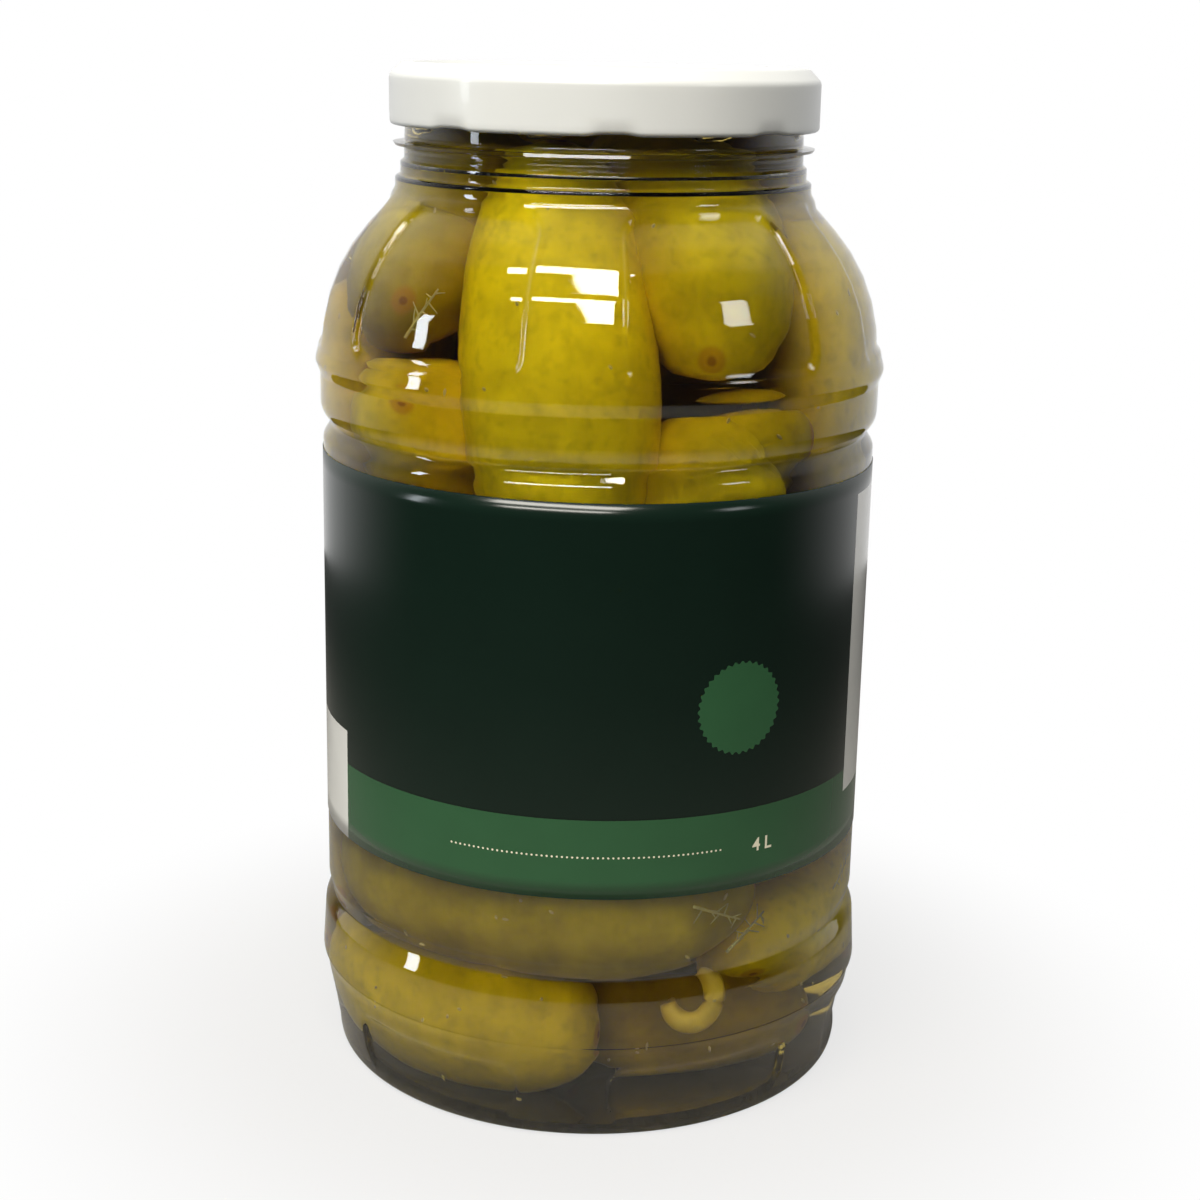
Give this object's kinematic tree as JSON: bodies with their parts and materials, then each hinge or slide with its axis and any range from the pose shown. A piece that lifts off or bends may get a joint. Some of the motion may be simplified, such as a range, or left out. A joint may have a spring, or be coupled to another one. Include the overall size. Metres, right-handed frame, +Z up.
{
  "type": "pickle jar",
  "caption": "Large clear plastic jar of whole pickles in brine, with a white metal twist-off lid and a dark green wrap label with a lighter green lower band.",
  "frame": {"origin": "centre of the ring that the jar stands on, at the table", "axes": "+Z up the jar's axis to the lid; -Y out through the front of the label"},
  "size_m": [0.1536, 0.1536, 0.2734],
  "materials": {
    "clear_plastic": "clear blow-moulded PET, glossy",
    "brine": "yellow-green brine with whole pickles in it",
    "lid_enamel": "white enamelled tinplate, satin gloss",
    "label_film": "printed film, glossy, dark green with a mid-green lower band"
  },
  "bodies": {
    "root": {"jar": "clear_plastic", "brine": "brine", "lid": "lid_enamel", "label": "label_film"}
  },
  "joints": []
}
